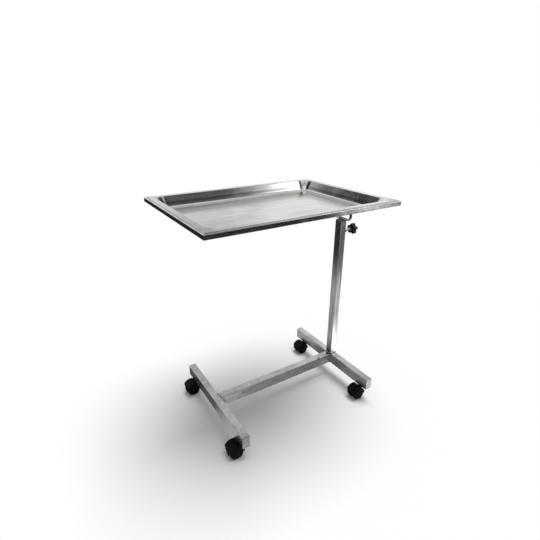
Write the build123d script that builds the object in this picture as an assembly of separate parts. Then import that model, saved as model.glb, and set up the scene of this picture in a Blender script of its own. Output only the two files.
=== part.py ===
from build123d import *
import math
import os

os.makedirs("parts", exist_ok=True)

# A wheeled instrument stand: a lift-off tray in a frame that one offset mast carries over a low base.
# Lengths are in millimetres. x runs from the frame's front end, over the front foot, to the mast.
# y = 0 is the middle, +y the right-hand side of a person behind the mast, and z = 0 is the floor.

# The frame under the tray: a flat rectangular tube, mitred at the corners
frame_length = 700.0
frame_width = 505.0
frame_top = 826.0
bar_width = 25.0
bar_height = 15.0
bar_wall = 1.2
bar_edge = 1.6
mitre_spare = 2.0

# The drawn tray
tray_sheet = 1.0
tray_depth = 36.0
flange_inset = 7.0
hem_width = 9.0
hem_thick = 2.3
basin_inset = 26.5
basin_slope = 35.0
basin_corner = 42.0
basin_foot_radius = 12.0
lip_radius = 3.5

# The base: two feet and a rail, all of one rectangular tube
tube_width = 28.0
tube_height = 45.0
tube_wall = 1.5
tube_edge = 2.5
foot_length = 466.0
end_plate = 1.5
front_foot_x = 114.0
rear_foot_x = 679.0

# The telescopic mast
mast_side = 30.0
post_side = 25.0
mast_wall = 1.5
mast_edge = 2.2
mast_top = 704.0
post_top = 710.0
post_foot = 160.0
cap_plate = 3.0
bush_flange = 4.0
bush_sleeve = 24.0
bush_play = 0.15
glide_height = 22.0
glide_side = 26.6
glide_plug = 14.0

# The round bar bent to a U that joins the post to the frame
yoke_bar = 10.0
yoke_x = 682.0
yoke_half_span = 47.0
yoke_bend = 14.0
yoke_seat = 0.8

# The clamp on the mast's rear face
clamp_z = 662.5
nut_diameter = 18.0
nut_length = 12.0
nut_bevel = 1.0
screw_diameter = 9.8
screw_bevel = 0.8
nut_play = 0.06
pad_diameter = 9.0
pad_thick = 4.0
pad_bevel = 0.4
pad_gap = 0.1
nose_diameter = 5.0
nose_length = 2.6
collar_diameter = 15.0
collar_length = 6.0
collar_bevel = 1.0
knob_back = 734.0
knob_thick = 20.0
knob_lobes = 5
knob_lobe_circle = 15.0
knob_lobe_radius = 6.8
knob_core_radius = 14.5
knob_waist_radius = 2.2
knob_crown_radius = 4.0
knob_back_radius = 1.8
knob_dish_radius = 7.0
knob_dish_depth = 1.6

# The twin-wheel casters
caster_height = 57.5
caster_from_end = 43.0
caster_trail = 24.0
wheel_radius = 25.0
wheel_width = 16.5
wheel_gap = 0.8
wheel_shoulder = 4.0
wheel_hub = 7.5
wheel_rim = 4.5
wheel_disc = 4.5
wheel_draft = 1.5
wheel_dish = 0.9
wheel_cap = 11.0
wheel_cap_bevel = 1.5
wheel_cap_rise = 0.6
wheel_bevel = 1.0
axle_radius = 4.0
axle_play = 0.05
axle_reach = 12.4
axle_end_play = 0.3
axle_bevel = 0.6
hood_gap = 1.4
hood_thick = 2.4
hood_side = 23.6
hood_crown = 1.6
hood_from = -8.0
hood_to = 158.0
hood_sectors = 4
web_thick = 12.0
web_inset = 0.4
web_foot = 13.0
web_eye = 11.0
column_width = 16.0
column_foot = 14.0
boss_radius = 9.5
boss_foot = 40.0
boss_gap = 0.4
stem_radius = 4.0
stem_play = 0.05
stem_foot = 19.0
thread_radius = 5.0
thread_length = 18.0
stem_flange_radius = 10.5
stem_flange_thick = 3.1
stem_bevel = 1.0
socket_radius = 9.0
socket_height = 13.0
groove_radius = 3.2
ring_radius = 4.9
ring_split = 1.6
ring_z = 26.0
ring_height = 1.6
ring_play = 0.2

# Worked out from the above
knob_front = knob_back + knob_thick
middle_x = knob_front / 2
foot_bottom = caster_height
foot_top = foot_bottom + tube_height
mast_rear_face = rear_foot_x + mast_side / 2
frame_under = frame_top - bar_height
caster_y = foot_length / 2 - caster_from_end
nodes = {}


def keep(name, *solids):
    """Puts the solids of one node in the stand's own frame and notes them under its name."""
    placed = [Pos(-middle_x, 0, 0) * solid for solid in solids]
    nodes[name] = placed[0] if len(placed) == 1 else Compound(children=placed)


def tube_section(width, height, wall, edge):
    """The hollow section of a drawn rectangular tube, with rounded edges outside and in."""
    outer = RectangleRounded(width, height, edge)
    inner = RectangleRounded(width - 2 * wall, height - 2 * wall, max(edge - wall, 0.5))
    return outer - inner


def tube_along_x(x0, x1, z0, width, height, wall, edge, y=0.0):
    section = Plane.YZ * tube_section(width, height, wall, edge)
    return Pos(x0, y, z0 + height / 2) * extrude(section, x1 - x0)


def tube_along_y(y0, y1, z0, width, height, wall, edge, x=0.0):
    section = Plane.XZ * tube_section(width, height, wall, edge)
    return Pos(x, y1, z0 + height / 2) * extrude(section, y1 - y0)


def tube_along_z(z0, z1, side, wall, edge, x):
    return Pos(x, 0, z0) * extrude(tube_section(side, side, wall, edge), z1 - z0)


# Frame rails

def mitred(tube, outer_from, outer_to, inner_to, inner_from):
    """Cuts a tube to a trapezoid in plan, whose slanted ends are its mitres."""
    plan = make_face(Polyline(outer_from, outer_to, inner_to, inner_from, close=True))
    height = bar_height + 2 * mitre_spare
    return tube & Pos(0, 0, frame_under - mitre_spare) * extrude(plan, height)


def side_rail(side):
    """A rail along x, on the side +1 or -1 of y."""
    y = side * (frame_width - bar_width) / 2
    tube = tube_along_x(0, frame_length, frame_under, bar_width, bar_height, bar_wall, bar_edge, y)
    out = mitre_spare
    in_ = bar_width + mitre_spare
    y_out = side * (frame_width / 2 + out)
    y_in = side * (frame_width / 2 - in_)
    corners = [(-out, y_out), (frame_length + out, y_out), (frame_length - in_, y_in), (in_, y_in)]
    return mitred(tube, *corners)


def end_rail(x_outer, inward):
    """A rail along y at one end of the frame, between the side rails' mitres."""
    x = x_outer + inward * bar_width / 2
    half = frame_width / 2
    tube = tube_along_y(-half, half, frame_under, bar_width, bar_height, bar_wall, bar_edge, x)
    out = mitre_spare
    in_ = bar_width + mitre_spare
    x_out = x_outer - inward * out
    x_in = x_outer + inward * in_
    corners = [(x_out, -half - out), (x_out, half + out), (x_in, half - in_), (x_in, in_ - half)]
    return mitred(tube, *corners)


# Tray

def basin_section(inset, corner, z):
    length = frame_length - 2 * inset
    width = frame_width - 2 * inset
    return Pos(frame_length / 2, 0, z) * RectangleRounded(length, width, corner)


def basin_form(grow, rim_z, foot_z):
    """The tray's hollow as a solid, its walls set outwards by grow, with its foot rounded."""
    drop = rim_z - foot_z
    draw_in = drop * math.tan(math.radians(basin_slope))
    upper = basin_section(basin_inset - grow, basin_corner + grow, rim_z)
    lower = basin_section(basin_inset - grow + draw_in, basin_corner + grow - draw_in, foot_z)
    form = loft([lower, upper])
    foot_edges = form.edges().group_by(Axis.Z)[0]
    return fillet(foot_edges, basin_foot_radius + grow)


def mouth_edges(solid, z):
    """The edges round the basin's mouth at height z, without the flange's outer edges."""
    margin = (flange_inset + basin_inset) / 2
    middle = Vector(frame_length / 2, 0, 0)

    def inside_flange(edge):
        at = edge.center() - middle
        return abs(at.X) < frame_length / 2 - margin and abs(at.Y) < frame_width / 2 - margin

    level = solid.edges().filter_by_position(Axis.Z, z - 0.01, z + 0.01)
    return level.filter_by(inside_flange)


def drawn_tray():
    """A basin with sloping walls, a rolled lip, a flat flange and a hem folded under its edge."""
    flange_top = frame_top + hem_thick
    flange_under = flange_top - tray_sheet
    floor_top = flange_top - tray_depth
    flange_length = frame_length - 2 * flange_inset
    flange_width = frame_width - 2 * flange_inset
    centre = Pos(frame_length / 2, 0, 0)
    plate = Rectangle(flange_length, flange_width)
    outside = centre * Pos(0, 0, flange_under) * extrude(plate, tray_sheet)
    outside += basin_form(tray_sheet, flange_top, floor_top - tray_sheet)
    outside = fillet(mouth_edges(outside, flange_under), lip_radius - tray_sheet)
    inside = basin_form(0.0, flange_top, floor_top)
    inside += centre * Pos(0, 0, flange_top) * extrude(plate, tray_depth)
    inside = fillet(mouth_edges(inside, flange_top), lip_radius)
    hem_inner = Rectangle(flange_length - 2 * hem_width, flange_width - 2 * hem_width)
    hem = centre * Pos(0, 0, frame_top) * extrude(plate - hem_inner, hem_thick)
    return outside - inside + hem


# Base

def caster_places():
    """The four stems: name, x and y of each."""
    places = []
    for end, x in (("front", front_foot_x), ("rear", rear_foot_x)):
        for hand, y in (("left", -caster_y), ("right", caster_y)):
            places.append((f"{end}_{hand}", x, y))
    return places


def foot_tube(x):
    half = foot_length / 2 - end_plate
    tube = tube_along_y(-half, half, foot_bottom, tube_width, tube_height, tube_wall, tube_edge, x)
    for y in (-caster_y, caster_y):
        tube -= Pos(x, y, foot_bottom) * Cylinder(thread_radius, 4 * tube_wall)
    return tube


def rail_tube():
    """The rail from foot to foot, its ends square against them."""
    x0 = front_foot_x + tube_width / 2
    x1 = rear_foot_x - tube_width / 2
    return tube_along_x(x0, x1, foot_bottom, tube_width, tube_height, tube_wall, tube_edge)


def foot_end_plates():
    plates = []
    outline = Plane.XZ * RectangleRounded(tube_width, tube_height, tube_edge)
    plate = extrude(outline, end_plate / 2, both=True)
    for x in (front_foot_x, rear_foot_x):
        for side in (1, -1):
            y = side * (foot_length - end_plate) / 2
            plates.append(Pos(x, y, foot_bottom + tube_height / 2) * plate)
    return plates


def stem_sockets():
    """Threaded bushes welded inside the feet, over the stem holes."""
    ring = Circle(socket_radius) - Circle(thread_radius)
    socket = extrude(ring, socket_height)
    return [Pos(x, y, foot_bottom + tube_wall) * socket for _, x, y in caster_places()]


# Mast and post

def mast_tube():
    tube = tube_along_z(foot_top, mast_top, mast_side, mast_wall, mast_edge, rear_foot_x)
    hole = Pos(mast_rear_face, 0, clamp_z) * Rot(0, 90, 0) * Cylinder(screw_diameter / 2 + nut_play, 8)
    return tube - hole


def mast_bush():
    """The plastic guide in the mast's mouth: a collar on top and a thin sleeve inside."""
    bore = post_side + 2 * bush_play
    mouth = mast_side - 2 * mast_wall - 0.1
    collar = RectangleRounded(mast_side, mast_side, mast_edge)
    sleeve = RectangleRounded(mouth, mouth, mast_edge - mast_wall)
    passage = RectangleRounded(bore, bore, mast_edge)
    bush = Pos(0, 0, mast_top) * extrude(collar, bush_flange)
    bush += Pos(0, 0, mast_top - bush_sleeve) * extrude(sleeve, bush_sleeve)
    top_edges = bush.edges().group_by(Axis.Z)[-1]
    bush = fillet(top_edges, 1.0)
    bush -= Pos(0, 0, mast_top - bush_sleeve) * extrude(passage, bush_sleeve + bush_flange)
    return Pos(rear_foot_x, 0, 0) * bush


def inner_post():
    return tube_along_z(post_foot, post_top - cap_plate, post_side, mast_wall, mast_edge, rear_foot_x)


def post_cap():
    plate = RectangleRounded(post_side, post_side, mast_edge)
    return Pos(rear_foot_x, 0, post_top - cap_plate) * extrude(plate, cap_plate)


def post_glide():
    """The plastic plug in the post's lower end, which keeps it central in the mast."""
    plug_side = post_side - 2 * mast_wall
    shoe = extrude(RectangleRounded(glide_side, glide_side, mast_edge), glide_height - glide_plug)
    shoe = chamfer(shoe.edges().group_by(Axis.Z)[0], 1.5)
    plug = extrude(RectangleRounded(plug_side, plug_side, mast_edge - mast_wall), glide_plug)
    glide = Pos(0, 0, post_foot - (glide_height - glide_plug)) * shoe
    glide += Pos(0, 0, post_foot) * plug
    return Pos(rear_foot_x, 0, 0) * glide


def yoke():
    """A round bar bent to a U, flat where it is welded on the post's cap."""
    bar_z = post_top + yoke_bar / 2 - yoke_seat
    corners = [
        (yoke_x, -yoke_half_span, frame_under),
        (yoke_x, -yoke_half_span, bar_z),
        (yoke_x, yoke_half_span, bar_z),
        (yoke_x, yoke_half_span, frame_under),
    ]
    path = FilletPolyline(*corners, radius=yoke_bend)
    section = Plane(origin=corners[0], z_dir=(0, 0, -1)) * Circle(yoke_bar / 2)
    bent = sweep(section, path=path)
    seat = Pos(yoke_x, 0, post_top - yoke_bar / 2) * Box(yoke_bar, post_side, yoke_bar)
    return bent - seat


# Clamp

def on_clamp_axis(x, solid):
    """Turns a solid made along +z so that it lies along +x on the clamp's axis, from x."""
    return Pos(x, 0, clamp_z) * Rot(0, 90, 0) * solid


def clamp_nut():
    ring = Circle(nut_diameter / 2) - Circle(screw_diameter / 2 + nut_play)
    nut = extrude(ring, nut_length)
    outer_rim = nut.edges().filter_by(GeomType.CIRCLE).group_by(Axis.Z)[-1].sort_by(SortBy.LENGTH)[-1]
    return on_clamp_axis(mast_rear_face, chamfer(outer_rim, nut_bevel))


pad_x = rear_foot_x + post_side / 2 + pad_gap


def thrust_pad():
    pad = extrude(Circle(pad_diameter / 2), pad_thick)
    pad = chamfer(pad.edges().group_by(Axis.Z)[0], pad_bevel)
    socket = Circle(nose_diameter / 2 + nut_play)
    pad -= Pos(0, 0, pad_thick - nose_length) * extrude(socket, nose_length)
    return on_clamp_axis(pad_x, pad)


def clamp_screw():
    """The stud with its nose in the pad and its collar moulded into the knob."""
    shoulder_x = pad_x + pad_thick + pad_gap
    nose = Pos(0, 0, -nose_length + pad_gap) * extrude(Circle(nose_diameter / 2), nose_length)
    shank_length = knob_back + knob_thick / 2 - shoulder_x
    shank = extrude(Circle(screw_diameter / 2), shank_length)
    shank = chamfer(shank.edges().group_by(Axis.Z)[0], screw_bevel)
    collar_at = knob_back - collar_length - shoulder_x
    collar = extrude(Circle(collar_diameter / 2), collar_length)
    collar = chamfer(collar.edges().group_by(Axis.Z)[0], collar_bevel)
    return on_clamp_axis(shoulder_x, nose + shank + Pos(0, 0, collar_at) * collar)


def star_knob():
    """Round lobes on a core, hollowed between by the core's own outline, with a domed face."""
    outline = Circle(knob_core_radius)
    for i in range(knob_lobes):
        angle = math.radians(90 + i * 360 / knob_lobes)
        lobe_x = knob_lobe_circle * math.cos(angle)
        lobe_y = knob_lobe_circle * math.sin(angle)
        outline += Pos(lobe_x, lobe_y) * Circle(knob_lobe_radius)
    outline = fillet(outline.vertices(), knob_waist_radius)
    knob = extrude(outline, knob_thick)
    knob = fillet(knob.edges().group_by(Axis.Z)[-1], knob_crown_radius)
    knob = fillet(knob.edges().group_by(Axis.Z)[0], knob_back_radius)
    knob -= extrude(Circle(screw_diameter / 2), knob_thick / 2)
    knob -= Pos(0, 0, knob_thick) * Cylinder(knob_dish_radius, 2 * knob_dish_depth)
    return on_clamp_axis(knob_back, Rot(0, 0, 90) * knob)


# Casters. Each is made with its stem on the z axis, trailing towards -x.

def caster_wheel():
    """A wheel turned about y: its inner face at y = 0, open there, and a dished disc outside."""
    bore = axle_radius + axle_play
    hollow = wheel_radius - wheel_rim
    disc = wheel_width - wheel_disc
    face = wheel_width - wheel_dish
    cap_edge = wheel_cap - wheel_cap_bevel
    crown = wheel_width + wheel_cap_rise
    pocket = axle_reach + axle_end_play
    shoulder_from = (wheel_radius, wheel_width - wheel_shoulder)
    shoulder_to = (wheel_radius - wheel_shoulder, wheel_width)
    outline = [
        Polyline((bore, 0), (wheel_hub, 0), (wheel_hub, disc), (hollow - wheel_draft, disc), (hollow, 0)),
        Polyline((hollow, 0), (wheel_radius - wheel_bevel, 0), (wheel_radius, wheel_bevel), shoulder_from),
        RadiusArc(shoulder_from, shoulder_to, -wheel_shoulder),
        Polyline(shoulder_to, (hollow - wheel_dish, face), (wheel_cap, face), (cap_edge, wheel_width)),
        Polyline((cap_edge, wheel_width), (0, crown), (0, pocket), (bore, pocket), (bore, 0)),
    ]
    return revolve(make_face(outline), Axis.Y)


def hood_sector(reach):
    """A fan in the wheel's plane, over the part of the circle that the hood covers."""
    fan = [(0, 0)]
    for i in range(hood_sectors + 1):
        angle = math.radians(hood_from + i * (hood_to - hood_from) / hood_sectors)
        fan.append((reach * math.cos(angle), reach * math.sin(angle)))
    return make_face(Polyline(*fan, close=True))


def caster_hood():
    """The hood over both wheels, the web between them, and the boss that turns on the stem."""
    inner = wheel_radius + hood_gap
    outer = inner + hood_thick
    at_axle = Pos(-caster_trail, 0, wheel_radius)
    across = at_axle * Rot(90, 0, 0)
    arc = (Circle(outer) - Circle(inner)) & hood_sector(2 * outer)
    shell = extrude(Plane.XZ * arc, hood_side, both=True)
    rims = shell.edges().filter_by(GeomType.CIRCLE)
    shell = fillet(rims.filter_by(lambda rim: rim.radius > (inner + outer) / 2), hood_crown)
    above = Pos(0, outer + web_foot - wheel_radius) * Rectangle(4 * outer, 2 * outer)
    web_outline = (Circle(outer - web_inset) & above) + Circle(web_eye)
    web = extrude(Plane.XZ * web_outline, web_thick / 2, both=True)
    top = caster_height - stem_flange_thick - boss_gap
    column = Pos(0, 0, column_foot) * extrude(Rectangle(column_width, web_thick), top - column_foot)
    boss = Pos(0, 0, boss_foot) * extrude(Circle(boss_radius), top - boss_foot)
    wheel_room = across * Cylinder(inner, 4 * hood_side)
    web_room = Box(8 * outer, web_thick, 8 * outer)
    housing = at_axle * (shell + web) + column
    housing += boss - (wheel_room - web_room)
    housing -= across * Cylinder(axle_radius, 2 * web_thick)
    housing -= Pos(0, 0, stem_foot - stem_bevel) * extrude(Circle(stem_radius + stem_play), caster_height)
    housing -= Pos(0, 0, ring_z) * Cylinder(ring_radius + ring_play / 2, ring_height + 2 * ring_play)
    return housing


def caster_stem():
    """The stem: a plain pin that the hood turns on, a flange under the foot and a thread above."""
    flange_z = caster_height - stem_flange_thick
    pin = Pos(0, 0, stem_foot) * extrude(Circle(stem_radius), flange_z - stem_foot)
    pin = chamfer(pin.edges().group_by(Axis.Z)[0], stem_bevel)
    groove = extrude(Circle(2 * stem_radius) - Circle(groove_radius), ring_height)
    pin -= Pos(0, 0, ring_z - ring_height / 2) * groove
    flange = Pos(0, 0, flange_z) * extrude(Circle(stem_flange_radius), stem_flange_thick)
    flange = chamfer(flange.edges().group_by(Axis.Z)[0], stem_bevel)
    thread = Pos(0, 0, caster_height) * extrude(Circle(thread_radius), thread_length)
    thread = chamfer(thread.edges().group_by(Axis.Z)[-1], stem_bevel)
    return pin + flange + thread


def grip_ring():
    """The split ring in the stem's groove that holds the hood up."""
    split = Pos(ring_radius, 0) * Rectangle(2 * (ring_radius - groove_radius) + 1, ring_split)
    ring = Circle(ring_radius) - Circle(groove_radius) - split
    return Pos(0, 0, ring_z - ring_height / 2) * extrude(ring, ring_height)


def caster_axle():
    half = web_thick / 2 + wheel_gap + axle_reach
    axle = Cylinder(axle_radius, 2 * half)
    axle = chamfer(axle.edges().filter_by(GeomType.CIRCLE), axle_bevel)
    return Pos(-caster_trail, 0, wheel_radius) * Rot(90, 0, 0) * axle


keep("frame_left_rail", side_rail(-1))
keep("frame_right_rail", side_rail(1))
keep("frame_front_rail", end_rail(0.0, 1))
keep("frame_rear_rail", end_rail(frame_length, -1))
keep("tray", drawn_tray())

keep("front_foot", foot_tube(front_foot_x))
keep("rear_foot", foot_tube(rear_foot_x))
keep("base_rail", rail_tube())
keep("foot_end_plates", *foot_end_plates())
keep("stem_sockets", *stem_sockets())

keep("mast_tube", mast_tube())
keep("mast_bush", mast_bush())
keep("inner_post", inner_post())
keep("post_cap", post_cap())
keep("post_glide", post_glide())
keep("yoke_bar", yoke())

keep("clamp_nut", clamp_nut())
keep("thrust_pad", thrust_pad())
keep("clamp_screw", clamp_screw())
keep("star_knob", star_knob())

wheel_right = Pos(-caster_trail, web_thick / 2 + wheel_gap, wheel_radius) * caster_wheel()
wheel_left = mirror(wheel_right, Plane.XZ)
hood = caster_hood()
stem = caster_stem()
axle = caster_axle()
rings = []
for place, x, y in caster_places():
    at = Pos(x, y, 0)
    keep(f"caster_hood_{place}", at * hood)
    keep(f"caster_stem_{place}", at * stem)
    keep(f"caster_axle_{place}", at * axle)
    keep(f"wheel_{place}_inner", at * (wheel_right if y < 0 else wheel_left))
    keep(f"wheel_{place}_outer", at * (wheel_left if y < 0 else wheel_right))
    rings.append(at * grip_ring())
keep("stem_grip_rings", *rings)

for name, shape in nodes.items():
    export_step(shape, f"parts/{name}.step")

box = Compound(children=list(nodes.values())).bounding_box()
print(len(nodes), "nodes; overall", box.size, "from", box.min, "to", box.max)
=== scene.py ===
import bpy
import math
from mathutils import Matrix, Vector


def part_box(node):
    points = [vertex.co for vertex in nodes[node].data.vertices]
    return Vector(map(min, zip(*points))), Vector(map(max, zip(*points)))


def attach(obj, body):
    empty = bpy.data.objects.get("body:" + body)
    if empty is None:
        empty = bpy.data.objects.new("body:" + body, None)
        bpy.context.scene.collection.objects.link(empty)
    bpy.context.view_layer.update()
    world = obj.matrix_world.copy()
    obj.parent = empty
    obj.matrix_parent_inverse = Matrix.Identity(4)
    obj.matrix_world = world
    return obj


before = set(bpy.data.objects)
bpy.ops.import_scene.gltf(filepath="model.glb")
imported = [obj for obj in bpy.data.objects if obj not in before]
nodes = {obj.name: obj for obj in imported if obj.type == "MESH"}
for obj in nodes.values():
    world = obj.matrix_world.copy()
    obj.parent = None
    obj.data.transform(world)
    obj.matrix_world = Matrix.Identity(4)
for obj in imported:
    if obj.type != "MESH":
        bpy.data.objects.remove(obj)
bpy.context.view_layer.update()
print("frame loaded:", len(nodes), "nodes")


# Camera. It stands where the photograph was taken from; the pixel values are in a 540 x 540 picture.
photo = {"side": 540, "focalPx": 388.25, "centrePx": (263.2, 271.7)}
cameraAt = {"place": (-0.7224, -1.0884, 1.1081), "yaw": 0.552, "pitch": 0.400, "roll": 0.001,
            "sensorWidth": 36, "nearest": 0.05}


def makeCamera():
    bpy.ops.object.camera_add(location=cameraAt["place"])
    cam = bpy.context.object
    cam.name = "photoCamera"
    cam.rotation_euler = (math.pi / 2 - cameraAt["pitch"], cameraAt["roll"], -cameraAt["yaw"])
    cam.data.sensor_width = cameraAt["sensorWidth"]
    cam.data.lens = photo["focalPx"] / photo["side"] * cameraAt["sensorWidth"]
    cam.data.shift_x = 0.5 - photo["centrePx"][0] / photo["side"]
    cam.data.shift_y = photo["centrePx"][1] / photo["side"] - 0.5
    cam.data.clip_start = cameraAt["nearest"]
    bpy.context.scene.camera = cam


makeCamera()
bpy.context.scene.view_settings.view_transform = "Standard"
print("camera placed")


# Small helpers for the node trees
def newMaterial(name):
    mat = bpy.data.materials.new(name)
    mat.use_nodes = True
    mat.node_tree.nodes.clear()
    return mat


def addNode(mat, kind, inputs=None, **settings):
    node = mat.node_tree.nodes.new(kind)
    for key, value in settings.items():
        setattr(node, key, value)
    for key, value in (inputs or {}).items():
        socket = node.inputs[key]
        if isinstance(value, bpy.types.NodeSocket):
            mat.node_tree.links.new(value, socket)
        else:
            socket.default_value = value
    return node


def mixColour(mat, fac, a, b, blend="MIX"):
    node = addNode(mat, "ShaderNodeMix", {"Factor": fac}, data_type="RGBA", blend_type=blend)
    for socket, value in ((node.inputs[6], a), (node.inputs[7], b)):
        if isinstance(value, bpy.types.NodeSocket):
            mat.node_tree.links.new(value, socket)
        else:
            socket.default_value = (*value, 1)
    return node.outputs[2]


def maths(mat, operation, *values, clamp=False):
    node = addNode(mat, "ShaderNodeMath", dict(enumerate(values)), operation=operation, use_clamp=clamp)
    return node.outputs[0]


def mapValue(mat, value, low, high, toLow=0.0, toHigh=1.0):
    ends = {"Value": value, "From Min": low, "From Max": high, "To Min": toLow, "To Max": toHigh}
    return addNode(mat, "ShaderNodeMapRange", ends, interpolation_type="SMOOTHSTEP").outputs[0]


def objectPlace(mat):
    return addNode(mat, "ShaderNodeTexCoord").outputs["Object"]


def distanceTo(mat, place, point):
    return addNode(mat, "ShaderNodeVectorMath", {0: place, 1: point}, operation="DISTANCE").outputs["Value"]


def localNoise(mat, scale, stretch=(1, 1, 1), detail=3, rough=0.55, shift=(0, 0, 0), turn=(0, 0, 0)):
    mapped = addNode(mat, "ShaderNodeMapping",
                     {"Vector": objectPlace(mat), "Scale": stretch, "Location": shift, "Rotation": turn})
    noise = addNode(mat, "ShaderNodeTexNoise",
                    {"Vector": mapped.outputs[0], "Scale": scale, "Detail": detail, "Roughness": rough})
    return noise.outputs["Fac"]


def paint(names, mat):
    for name in names:
        mesh = nodes[name].data
        mesh.materials.clear()
        mesh.materials.append(mat)


# Steel. Each kind has its own colour, gloss, stains and scratches, and the direction of its grain.
# Grain and streaks run along the axis whose stretch is smallest.
steelLooks = {
    "base": {"colour": 0.64, "dull": 0.54, "gloss": 0.24, "stain": 12, "scratch": 0.5, "relief": 0.02,
             "grain": (8, 2, 22), "streak": 40, "streakWay": (0.5, 0.5, 2.5), "streakLow": 0.86},
    "mast": {"colour": 0.64, "dull": 0.52, "gloss": 0.20, "stain": 16, "scratch": 0.5, "relief": 0.02,
             "grain": (26, 26, 1), "streak": 70, "streakWay": (3, 3, 0.12), "streakLow": 0.62},
    "frame": {"colour": 0.60, "dull": 0.50, "gloss": 0.15, "stain": 20, "scratch": 0.2, "relief": 0.003,
              "grain": (3, 3, 3), "streak": 30, "streakWay": (0.6, 0.6, 3), "streakLow": 0.80},
    "tray": {"colour": 0.68, "dull": 0.63, "gloss": 0.15, "stain": 7, "scratch": 0.5, "relief": 0.006,
             "grain": (1, 9, 9), "streak": 18, "streakWay": (0.3, 3, 3), "streakLow": 0.96},
    "bright": {"colour": 0.34, "dull": 0.20, "gloss": 0.20, "stain": 60, "scratch": 0.2, "relief": 0.03,
               "grain": (6, 6, 6), "streak": 300, "streakWay": (1, 1, 1), "streakLow": 0.80},
    "post": {"colour": 0.64, "dull": 0.56, "gloss": 0.18, "stain": 16, "scratch": 0.4, "relief": 0.02,
             "grain": (26, 26, 1), "streak": 70, "streakWay": (3, 3, 0.12), "streakLow": 0.75},
    "weld": {"colour": 0.40, "dull": 0.20, "gloss": 0.34, "stain": 90, "scratch": 0.1, "relief": 0.30,
             "grain": (9, 9, 9), "streak": 500, "streakWay": (1, 1, 1), "streakLow": 0.60},
    "seam": {"colour": 0.10, "dull": 0.05, "gloss": 0.40, "stain": 90, "scratch": 0.1, "relief": 0.10,
             "grain": (9, 9, 9), "streak": 500, "streakWay": (1, 1, 1), "streakLow": 0.60},
}
# Point, reach and strength of dark spots. At the welds they are heat tint together with painted contact
# shadow; on the front foot's −X face and in the tray's back corner they are painted shade and painted
# reflection; the others darken spots on the rail.
heatAndShadeMarks = {
    "base": [((0.290, -0.004, 0.102), 0.020, 0.75), ((-0.249, 0, 0.080), 0.030, 0.75),
             ((0.222, -0.0145, 0.1015), 0.010, 0.75), ((-0.277, -0.036, 0.083), 0.006, 0.75),
             ((-0.277, -0.010, 0.078), 0.026, 0.45), ((-0.174, -0.014, 0.070), 0.013, 0.22),
             ((-0.152, -0.014, 0.082), 0.012, 0.26), ((0.060, -0.014, 0.088), 0.016, 0.12)],
    "mast": [((0.284, 0.002, 0.108), 0.022, 0.75), ((0.317, 0, 0.6625), 0.019, 0.75)],
    "frame": [((0.305, 0, 0.711), 0.016, 0.75)],
    "tray": [((-0.326, 0.202, 0.815), 0.034, 0.60)],
}
heatAndShadeTone = {"colour": (0.085, 0.083, 0.078), "core": 0.45}
steelTint = (1.0, 1.005, 0.975)
steelGrain = {"scale": 70, "detail": 2, "rough": 0.6, "low": 0.30, "high": 0.70, "dark": 0.92, "light": 1.05}
steelStain = {"detail": 4, "rough": 0.6, "shift": (0.3, 0.1, 0.7), "low": 0.44, "high": 0.70}
steelStreak = {"detail": 2, "shift": (4, 2, 6), "low": 0.36, "high": 0.64, "light": 1.06}
steelRough = {"grain": 0.05, "dulled": 0.08, "marks": 0.12}
scratchLook = {"scale": 34, "stretch": 46, "width": 0.012, "depth": -0.6, "show": 0.6,
               "colour": (0.30, 0.30, 0.30), "patchScale": 14, "patchLow": 0.50, "patchHigh": 0.62,
               "ways": [((0.2, 0.5, 0.6), (1, 2, 3)), ((0.9, -0.4, -1.1), (5, 1, 2))]}
# Painted shade along the tray's bend, and a painted darker reflection on the flange's free end
trayBend = {"centre": -0.027, "halfLong": 0.307, "halfWide": 0.210, "reach": 0.0045, "core": 0.0012,
            "dark": 0.55, "dimFrom": -0.332, "dimTo": -0.346, "dim": 0.74}
bumpDepth = 0.001


def scratches(mat, turn, shift):
    # Thin lines where a long noise crosses its middle, kept in some places only
    look = scratchLook
    stretch = (1, look["stretch"], look["stretch"])
    lines = localNoise(mat, look["scale"], stretch, detail=1, shift=shift, turn=turn)
    offLine = maths(mat, "ABSOLUTE", maths(mat, "SUBTRACT", lines, 0.5))
    marks = mapValue(mat, offLine, look["width"], 0.0)
    patches = localNoise(mat, look["patchScale"], detail=1, shift=shift)
    some = mapValue(mat, patches, look["patchLow"], look["patchHigh"])
    return maths(mat, "MULTIPLY", marks, some)


def paintTrayShadeAndReflection(mat, colour):
    # Painted shade: the flange is darker where it bends down into the tray; a painted darker reflection dims
    # it at the free end.
    place = addNode(mat, "ShaderNodeSeparateXYZ", {0: objectPlace(mat)}).outputs
    along = maths(mat, "ABSOLUTE", maths(mat, "SUBTRACT", place[0], trayBend["centre"]))
    across = maths(mat, "ABSOLUTE", place[1])
    past = maths(mat, "MAXIMUM", maths(mat, "SUBTRACT", along, trayBend["halfLong"]),
                 maths(mat, "SUBTRACT", across, trayBend["halfWide"]))
    offBend = maths(mat, "ABSOLUTE", past)
    line = mapValue(mat, offBend, trayBend["reach"], trayBend["core"], 1.0, trayBend["dark"])
    colour = mixColour(mat, 1.0, colour, line, "MULTIPLY")
    dim = mapValue(mat, place[0], trayBend["dimFrom"], trayBend["dimTo"], 1.0, trayBend["dim"])
    return mixColour(mat, 1.0, colour, dim, "MULTIPLY")


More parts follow.
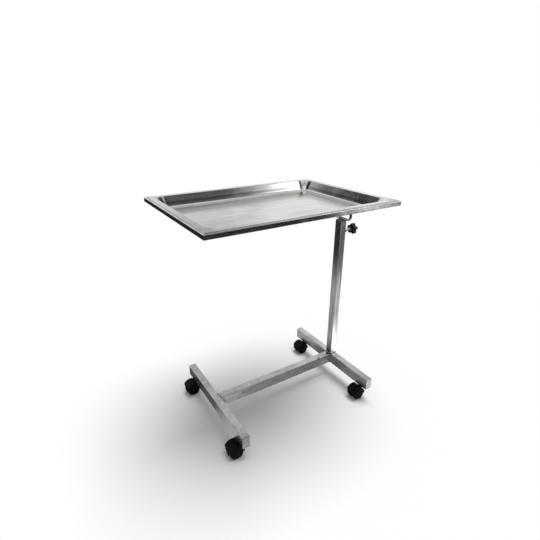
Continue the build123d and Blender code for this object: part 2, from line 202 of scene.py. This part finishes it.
def makeSteel(kind):
    look = steelLooks[kind]
    mat = newMaterial(kind + "Steel")
    grain = localNoise(mat, steelGrain["scale"], look["grain"], detail=steelGrain["detail"],
                       rough=steelGrain["rough"])
    stain = localNoise(mat, look["stain"], detail=steelStain["detail"], rough=steelStain["rough"],
                       shift=steelStain["shift"])
    dulled = mapValue(mat, stain, steelStain["low"], steelStain["high"])
    bright = [look["colour"] * part for part in steelTint]
    dull = [look["dull"] * part for part in steelTint]
    colour = mixColour(mat, dulled, bright, dull)
    grainTone = mapValue(mat, grain, steelGrain["low"], steelGrain["high"], steelGrain["dark"],
                         steelGrain["light"])
    colour = mixColour(mat, 1.0, colour, grainTone, "MULTIPLY")
    streak = localNoise(mat, look["streak"], look["streakWay"], detail=steelStreak["detail"],
                        shift=steelStreak["shift"])
    streakTone = mapValue(mat, streak, steelStreak["low"], steelStreak["high"], look["streakLow"],
                          steelStreak["light"])
    colour = mixColour(mat, 1.0, colour, streakTone, "MULTIPLY")
    oneWay, otherWay = [scratches(mat, turn, shift) for turn, shift in scratchLook["ways"]]
    marks = maths(mat, "MULTIPLY", maths(mat, "MAXIMUM", oneWay, otherWay), look["scratch"])
    colour = mixColour(mat, maths(mat, "MULTIPLY", marks, scratchLook["show"]), colour, scratchLook["colour"])
    # Dark spots: heat tint at the welds, and painted shade and painted reflection elsewhere
    for point, reach, strength in heatAndShadeMarks.get(kind, []):
        near = distanceTo(mat, objectPlace(mat), point)
        heatAndShade = maths(mat, "MULTIPLY", mapValue(mat, near, reach, reach * heatAndShadeTone["core"]), strength)
        colour = mixColour(mat, heatAndShade, colour, heatAndShadeTone["colour"])
    if kind == "tray":
        colour = paintTrayShadeAndReflection(mat, colour)
    rough = maths(mat, "MULTIPLY_ADD", grain, steelRough["grain"], look["gloss"] - steelRough["grain"] / 2)
    rough = maths(mat, "MULTIPLY_ADD", dulled, steelRough["dulled"], rough)
    rough = maths(mat, "MULTIPLY_ADD", marks, steelRough["marks"], rough)
    relief = maths(mat, "MULTIPLY_ADD", marks, scratchLook["depth"], grain)
    bump = addNode(mat, "ShaderNodeBump",
                   {"Height": relief, "Strength": look["relief"], "Distance": bumpDepth})
    shader = addNode(mat, "ShaderNodeBsdfPrincipled",
                     {"Base Color": colour, "Metallic": 1.0, "Roughness": rough, "Normal": bump.outputs[0]})
    addNode(mat, "ShaderNodeOutputMaterial", {"Surface": shader.outputs[0]})
    return mat


steels = {kind: makeSteel(kind) for kind in steelLooks}
paint(["front_foot", "rear_foot", "base_rail", "foot_end_plates", "stem_sockets"], steels["base"])
paint(["mast_tube", "post_cap"], steels["mast"])
paint(["inner_post"], steels["post"])
paint([name for name in nodes if name.startswith("frame_")] + ["yoke_bar"], steels["frame"])
paint(["tray"], steels["tray"])
paint(["clamp_nut", "clamp_screw", "stem_grip_rings"], steels["bright"])
paint([name for name in nodes if name.startswith(("caster_stem", "caster_axle"))], steels["bright"])
print("steel done")


# Plastics. The wheels collect dust on their treads.
plasticLooks = {
    "caster": {"colour": (0.0025, 0.0025, 0.003), "worn": (0.005, 0.005, 0.006),
               "gloss": 0.45, "shine": 0.08},
    "wheel": {"colour": (0.0025, 0.0025, 0.0025), "worn": (0.006, 0.006, 0.0055),
              "gloss": 0.50, "shine": 0.07},
    "knob": {"colour": (0.0035, 0.0035, 0.004), "worn": (0.007, 0.007, 0.008),
             "gloss": 0.28, "shine": 0.25},
    "nylon": {"colour": (0.10, 0.10, 0.10), "worn": (0.16, 0.16, 0.155),
              "gloss": 0.45, "shine": 0.3},
}
plasticGrain = {"scale": 900, "detail": 2, "strength": 0.1, "depth": 0.0003}
plasticWear = {"scale": 60, "detail": 3, "low": 0.45, "high": 0.75, "rough": 0.14}
treadDust = {"axleHeight": 0.025, "from": 0.0235, "to": 0.0247, "scale": 160, "detail": 4,
             "low": 0.42, "high": 0.62, "cover": 0.6, "colour": (0.032, 0.030, 0.027)}


def makePlastic(kind, name=None, axle=None):
    look = plasticLooks[kind]
    mat = newMaterial((name or kind) + "Plastic")
    grain = localNoise(mat, plasticGrain["scale"], detail=plasticGrain["detail"])
    cloud = localNoise(mat, plasticWear["scale"], detail=plasticWear["detail"])
    dulled = mapValue(mat, cloud, plasticWear["low"], plasticWear["high"])
    colour = mixColour(mat, dulled, look["colour"], look["worn"])
    if axle:
        flat = addNode(mat, "ShaderNodeVectorMath", {0: objectPlace(mat), 1: (1, 0, 1)}, operation="MULTIPLY")
        away = distanceTo(mat, flat.outputs[0], axle)
        tread = mapValue(mat, away, treadDust["from"], treadDust["to"])
        specks = localNoise(mat, treadDust["scale"], detail=treadDust["detail"])
        dust = maths(mat, "MULTIPLY", tread, mapValue(mat, specks, treadDust["low"], treadDust["high"]))
        colour = mixColour(mat, maths(mat, "MULTIPLY", dust, treadDust["cover"]), colour, treadDust["colour"])
    rough = maths(mat, "MULTIPLY_ADD", dulled, plasticWear["rough"], look["gloss"])
    bump = addNode(mat, "ShaderNodeBump",
                   {"Height": grain, "Strength": plasticGrain["strength"], "Distance": plasticGrain["depth"]})
    shader = addNode(mat, "ShaderNodeBsdfPrincipled",
                     {"Base Color": colour, "Roughness": rough, "Normal": bump.outputs[0],
                      "Specular IOR Level": look["shine"]})
    addNode(mat, "ShaderNodeOutputMaterial", {"Surface": shader.outputs[0]})
    return mat


paint([name for name in nodes if name.startswith("caster_hood")], makePlastic("caster"))
paint(["star_knob"], makePlastic("knob"))
paint(["mast_bush", "post_glide", "thrust_pad"], makePlastic("nylon"))
for end in ("front", "rear"):
    low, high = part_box("caster_axle_" + end + "_left")
    axleAt = ((low[0] + high[0]) / 2, 0, treadDust["axleHeight"])
    wheels = [name for name in nodes if name.startswith("wheel_" + end)]
    paint(wheels, makePlastic("wheel", end + "Wheel", axleAt))
print("plastics done")


# Detail pieces
pieceFinish = {"mergeGap": 0.000002, "smoothAngle": 50, "beadSides": 2, "cornerSteps": 3}


def startPiece(name):
    piece = bpy.context.object
    piece.name = name
    piece.data.name = name
    bpy.ops.object.mode_set(mode="EDIT")
    return piece


def finishPiece(piece, mat, body):
    bpy.ops.object.transform_apply(location=True, rotation=True, scale=True)
    bpy.ops.object.mode_set(mode="EDIT")
    bpy.ops.mesh.select_all(action="SELECT")
    bpy.ops.mesh.remove_doubles(threshold=pieceFinish["mergeGap"])
    bpy.ops.mesh.normals_make_consistent(inside=False)
    bpy.ops.object.mode_set(mode="OBJECT")
    bpy.ops.object.shade_smooth_by_angle(angle=math.radians(pieceFinish["smoothAngle"]))
    piece.data.materials.clear()
    piece.data.materials.append(mat)
    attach(piece, body)


def copyPiece(piece, name, shift, body):
    twin = piece.copy()
    twin.data = piece.data.copy()
    twin.name = twin.data.name = name
    bpy.context.collection.objects.link(twin)
    for point in twin.data.vertices:
        point.co += Vector(shift)
    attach(twin, body)
    return twin


def drawBead(piece, look, closed=True):
    # The outline in edit mode becomes a round bead whose thickness ripples
    bpy.ops.mesh.select_all(action="SELECT")
    bpy.ops.mesh.subdivide(number_cuts=look["cuts"])
    bpy.ops.object.mode_set(mode="OBJECT")
    bpy.ops.object.convert(target="CURVE")
    curve = piece.data
    curve.bevel_depth = look["radius"]
    curve.bevel_resolution = pieceFinish["beadSides"]
    curve.use_fill_caps = not closed
    for spline in curve.splines:
        for i, point in enumerate(spline.points):
            point.radius = 1 + look["ripple"] * math.sin(i * look["beat"])
    bpy.ops.object.convert(target="MESH")


def rectBead(name, look, body):
    # A bead round a rectangle, which lies flat or is turned upright
    bpy.ops.object.select_all(action="DESELECT")
    bpy.ops.mesh.primitive_plane_add(size=1, location=look["at"], rotation=look["turn"])
    bpy.context.object.scale = (*look["size"], 1)
    bpy.ops.object.transform_apply(location=False, rotation=False, scale=True)
    piece = startPiece(name)
    bpy.ops.mesh.select_all(action="SELECT")
    bpy.ops.mesh.bevel(offset=look["corner"], segments=pieceFinish["cornerSteps"], affect="VERTICES")
    bpy.ops.mesh.select_all(action="SELECT")
    bpy.ops.mesh.delete(type="ONLY_FACE")
    drawBead(piece, look)
    finishPiece(piece, steels[look.get("steel", "weld")], body)
    return piece


def ringBead(name, look, body):
    # A bead round a circle
    bpy.ops.object.select_all(action="DESELECT")
    bpy.ops.mesh.primitive_circle_add(vertices=look["sides"], radius=look["ring"], location=look["at"],
                                      rotation=look["turn"])
    piece = startPiece(name)
    drawBead(piece, look)
    finishPiece(piece, steels["weld"], body)
    return piece


def lineBead(name, look, body):
    # A bead along a line of corners
    corners = [Vector(corner) for corner in look["corners"]]
    bpy.ops.object.select_all(action="DESELECT")
    bpy.ops.mesh.primitive_plane_add(size=look["radius"], location=corners[0])
    piece = startPiece(name)
    bpy.ops.mesh.select_all(action="SELECT")
    bpy.ops.mesh.merge(type="CENTER")
    for start, end in zip(corners, corners[1:]):
        bpy.ops.mesh.extrude_vertices_move(TRANSFORM_OT_translate={"value": end - start})
    drawBead(piece, look, closed=False)
    finishPiece(piece, steels["weld"], body)
    return piece


# Where each bead lies, and how far its copies stand off
upright = {"x": (0, math.pi / 2, 0), "y": (math.pi / 2, 0, 0), "z": (0, 0, 0)}
mastWeld = {"at": (0.302, 0, 0.1030), "turn": upright["z"], "size": (0.0304, 0.0304), "corner": 0.0024,
            "radius": 0.0022, "ripple": 0.16, "beat": 2.0, "cuts": 8}
railWeld = {"at": (-0.2488, 0, 0.080), "turn": upright["x"], "size": (0.0448, 0.0278), "corner": 0.0026,
            "radius": 0.0019, "ripple": 0.16, "beat": 2.0, "cuts": 9, "apart": 0.5366}
plateSeam = {"at": (-0.263, -0.2314, 0.080), "turn": upright["y"], "size": (0.0276, 0.0446), "corner": 0.0024,
             "radius": 0.0009, "ripple": 0.25, "beat": 1.3, "cuts": 12, "steel": "seam",
             "along": 0.565, "across": 0.4628}
nutWeld = {"at": (0.3173, 0, 0.6625), "turn": upright["x"], "ring": 0.0093, "sides": 24,
           "radius": 0.0014, "ripple": 0.16, "beat": 2.0, "cuts": 2}
armWeld = {"at": (0.305, -0.047, 0.8106), "turn": upright["z"], "ring": 0.0053, "sides": 24,
           "radius": 0.0013, "ripple": 0.16, "beat": 2.0, "cuts": 2, "apart": 0.094}
seatWeld = {"corners": [(0.3012, -0.0112, 0.7108), (0.3012, 0.0112, 0.7108)],
            "radius": 0.0013, "ripple": 0.16, "beat": 2.0, "cuts": 26, "apart": 0.0076}
mitreWeld = {"centre": -0.027,
             "corners": [(-0.3535, -0.2290, 0.8113), (-0.3761, -0.2516, 0.8113), (-0.3761, -0.2516, 0.8250)],
             "radius": 0.0007, "ripple": 0.15, "beat": 2.0, "cuts": 30}


rectBead("mastFootWeld", mastWeld, "base")
frontRailWeld = rectBead("frontRailWeld", railWeld, "base")
copyPiece(frontRailWeld, "rearRailWeld", (railWeld["apart"], 0, 0), "base")
nearSeam = rectBead("frontPlateSeamLeft", plateSeam, "base")
along, across = plateSeam["along"], plateSeam["across"]
copyPiece(nearSeam, "frontPlateSeamRight", (0, across, 0), "base")
copyPiece(nearSeam, "rearPlateSeamLeft", (along, 0, 0), "base")
copyPiece(nearSeam, "rearPlateSeamRight", (along, across, 0), "base")
ringBead("clampNutWeld", nutWeld, "base")
leftArmWeld = ringBead("yokeArmWeldLeft", armWeld, "post")
copyPiece(leftArmWeld, "yokeArmWeldRight", (0, armWeld["apart"], 0), "post")
frontSeatWeld = lineBead("yokeSeatWeldFront", seatWeld, "post")
copyPiece(frontSeatWeld, "yokeSeatWeldRear", (seatWeld["apart"], 0, 0), "post")
for end, endSign in (("Front", 1), ("Rear", -1)):
    for hand, handSign in (("Left", 1), ("Right", -1)):
        centre = mitreWeld["centre"]
        corners = []
        for x, y, z in mitreWeld["corners"]:
            corners.append((endSign * (x - centre) + centre, handSign * y, z))
        lineBead("mitreWeld" + end + hand, {**mitreWeld, "corners": corners}, "post")
print("welds done")


# The clamp stud's thread: a ridge that winds round it. The screw modifier turns about z, so it is made
# upright and then laid along x.
thread = {"from": 0.3262, "height": 0.6625, "core": 0.0043, "crest": 0.00493, "pitch": 0.0015, "turns": 16,
          "steps": 24, "ridge": 0.52}


def makeThread():
    bpy.ops.object.select_all(action="DESELECT")
    bpy.ops.mesh.primitive_circle_add(vertices=3, radius=thread["pitch"] * thread["ridge"],
                                      location=(thread["core"], 0, 0), rotation=(math.pi / 2, 0, 0))
    piece = startPiece("clampStudThread")
    bpy.ops.mesh.select_all(action="SELECT")
    bpy.ops.transform.rotate(value=-math.pi / 2, orient_axis="Y", center_override=(thread["core"], 0, 0))
    bpy.ops.object.mode_set(mode="OBJECT")
    bpy.ops.object.transform_apply(location=True, rotation=True, scale=True)
    wind = piece.modifiers.new("wind", "SCREW")
    wind.axis = "Z"
    wind.screw_offset = thread["pitch"]
    wind.iterations = thread["turns"]
    wind.steps = wind.render_steps = thread["steps"]
    bpy.ops.object.modifier_apply(modifier="wind")
    reach = max(math.hypot(point.co.x, point.co.y) for point in piece.data.vertices)
    slim = thread["crest"] / reach
    piece.scale = (slim, slim, 1)
    bpy.ops.object.transform_apply(location=False, rotation=False, scale=True)
    piece.rotation_euler = (0, math.pi / 2, 0)
    piece.location = (thread["from"], 0, thread["height"])
    bpy.ops.object.transform_apply(location=True, rotation=True, scale=False)
    bpy.ops.object.mode_set(mode="EDIT")
    bpy.ops.mesh.select_all(action="DESELECT")
    bpy.ops.mesh.select_non_manifold()
    bpy.ops.mesh.edge_face_add()
    bpy.ops.object.mode_set(mode="OBJECT")
    finishPiece(piece, steels["bright"], "clamp_knob")


makeThread()
print("thread done")


# Studio. The room is white. The floor keeps the shadow, and the two cards show in reflections alone.
studio = {
    "floorSize": 60,
    "floorGrey": 0.99,
    "sky": 0.37,
    "sun": 2.08,
    "sunAngle": 0.62,
    "sunLean": (-1.5, 10.5),
    "cardRadius": 7,
    "skyCardSegments": 48,
    "skyCardRings": 24,
    "floorCardSides": 64,
    "floorCardHeight": 0.0005,
}


def makeWorld():
    world = bpy.data.worlds.new("whiteRoom")
    bpy.context.scene.world = world
    world.use_nodes = True
    world.node_tree.nodes.clear()
    path = addNode(world, "ShaderNodeLightPath").outputs
    seen = maths(world, "ADD", path["Is Camera Ray"], path["Is Glossy Ray"])
    seen = maths(world, "ADD", seen, path["Is Transmission Ray"], clamp=True)
    lamp = addNode(world, "ShaderNodeBackground", {"Color": (1, 1, 1, 1), "Strength": studio["sky"]})
    white = addNode(world, "ShaderNodeBackground", {"Color": (1, 1, 1, 1), "Strength": 1})
    mix = addNode(world, "ShaderNodeMixShader", {0: seen, 1: lamp.outputs[0], 2: white.outputs[0]})
    addNode(world, "ShaderNodeOutputWorld", {"Surface": mix.outputs[0]})


def makeFloor():
    bpy.ops.object.select_all(action="DESELECT")
    bpy.ops.mesh.primitive_plane_add(size=studio["floorSize"])
    floor = bpy.context.object
    floor.name = "paleFloor"
    mat = newMaterial("paleFloor")
    matte = addNode(mat, "ShaderNodeBsdfDiffuse", {"Color": (*(studio["floorGrey"],) * 3, 1)})
    addNode(mat, "ShaderNodeOutputMaterial", {"Surface": matte.outputs[0]})
    floor.data.materials.append(mat)


def makeSun():
    leanX, leanY = studio["sunLean"]
    bpy.ops.object.light_add(type="SUN", rotation=(math.radians(leanX), math.radians(leanY), 0))
    sun = bpy.context.object
    sun.name = "softSun"
    sun.data.energy = studio["sun"]
    sun.data.angle = studio["sunAngle"]
    sun.visible_glossy = False


# Where the cards are light and dark. Yaw turns from +Y towards +X; angles are in degrees. Each patch is
# full inside its inner edge and gone at its outer edge, and a later patch covers an earlier one.
skyPatches = [
    {"yaw": 30, "up": 50, "inner": 10, "outer": 30, "light": 0.72},
    {"yaw": 22, "up": 33, "inner": 7, "outer": 14, "light": 0.50},
    {"yaw": 158, "up": 54, "inner": 20, "outer": 36, "light": 0.10},
    {"yaw": 78, "up": 28, "inner": 15, "outer": 26, "light": 0.16},
    {"yaw": 63, "up": 13, "inner": 8, "outer": 12, "light": 0.10},
    {"yaw": 50.5, "up": 11.5, "inner": 2.5, "outer": 5, "light": 1.60},
    {"yaw": -47, "up": 45, "inner": 18, "outer": 22, "light": 0.03},
    {"yaw": -160, "up": 60, "inner": 12, "outer": 22, "light": 0.90},
    {"yaw": 122, "up": 39, "inner": 8, "outer": 14, "light": 3.50},
]
floorPatches = [
    {"at": (-0.33, 0.24), "inner": 0.12, "outer": 0.32, "light": 0.11},
    {"at": (0.20, 0.06), "inner": 0.08, "outer": 0.20, "light": 0.14},
    {"at": (0.02, -0.10), "inner": 0.08, "outer": 0.20, "light": 0.30},
    {"at": (0.24, -0.12), "inner": 0.07, "outer": 0.15, "light": 0.24},
    {"at": (0.40, -0.34), "inner": 0.07, "outer": 0.13, "light": 0.80},
    {"at": (-0.23, -0.37), "inner": 0.10, "outer": 0.16, "light": 0.45},
    {"at": (1.45, -1.25), "inner": 0.60, "outer": 1.10, "light": 0.20},
    {"at": (0.90, -0.60), "inner": 0.20, "outer": 0.45, "light": 0.85},
    {"at": (0.59, -0.145), "inner": 0.19, "outer": 0.25, "light": 1.90},
    {"at": (3.50, -2.60), "inner": 0.40, "outer": 0.80, "light": 0.50},
    {"at": (2.70, -2.62), "inner": 0.20, "outer": 0.50, "light": 2.00},
]
skyGrey = 1.0
floorGreys = {"near": 0.50, "far": 0.02, "from": 0.75, "to": 1.35}


def blendPatch(mat, under, nearness, start, end, light):
    return mixColour(mat, mapValue(mat, nearness, start, end), under, (light,) * 3)


def finishCard(card, mat, light):
    glow = addNode(mat, "ShaderNodeEmission", {"Color": light})
    addNode(mat, "ShaderNodeOutputMaterial", {"Surface": glow.outputs[0]})
    mat.cycles.emission_sampling = "NONE"
    card.data.materials.append(mat)
    card.visible_camera = card.visible_diffuse = card.visible_shadow = False
    card.visible_transmission = card.visible_volume_scatter = False


def makeSkyCard():
    bpy.ops.object.select_all(action="DESELECT")
    bpy.ops.mesh.primitive_uv_sphere_add(segments=studio["skyCardSegments"],
                                         ring_count=studio["skyCardRings"], radius=studio["cardRadius"])
    card = bpy.context.object
    card.name = "skyCard"
    mat = newMaterial(card.name)
    way = addNode(mat, "ShaderNodeVectorMath", {0: objectPlace(mat)}, operation="NORMALIZE").outputs[0]
    light = (skyGrey,) * 3
    for patch in skyPatches:
        yaw, up = math.radians(patch["yaw"]), math.radians(patch["up"])
        aim = (math.sin(yaw) * math.cos(up), math.cos(yaw) * math.cos(up), math.sin(up))
        dot = addNode(mat, "ShaderNodeVectorMath", {0: way, 1: aim}, operation="DOT_PRODUCT").outputs["Value"]
        start, end = (math.cos(math.radians(patch[edge])) for edge in ("outer", "inner"))
        light = blendPatch(mat, light, dot, start, end, patch["light"])
    finishCard(card, mat, light)


def makeFloorCard():
    bpy.ops.object.select_all(action="DESELECT")
    bpy.ops.mesh.primitive_circle_add(vertices=studio["floorCardSides"], radius=studio["cardRadius"],
                                      fill_type="NGON", location=(0, 0, studio["floorCardHeight"]))
    card = bpy.context.object
    card.name = "floorCard"
    mat = newMaterial(card.name)
    place = objectPlace(mat)
    away = addNode(mat, "ShaderNodeVectorMath", {0: place}, operation="LENGTH").outputs["Value"]
    light = blendPatch(mat, (floorGreys["near"],) * 3, away, floorGreys["from"], floorGreys["to"],
                       floorGreys["far"])
    for patch in floorPatches:
        gap = distanceTo(mat, place, (*patch["at"], 0))
        light = blendPatch(mat, light, gap, patch["outer"], patch["inner"], patch["light"])
    finishCard(card, mat, light)


makeWorld()
makeFloor()
makeSun()
makeSkyCard()
makeFloorCard()
print("studio done")
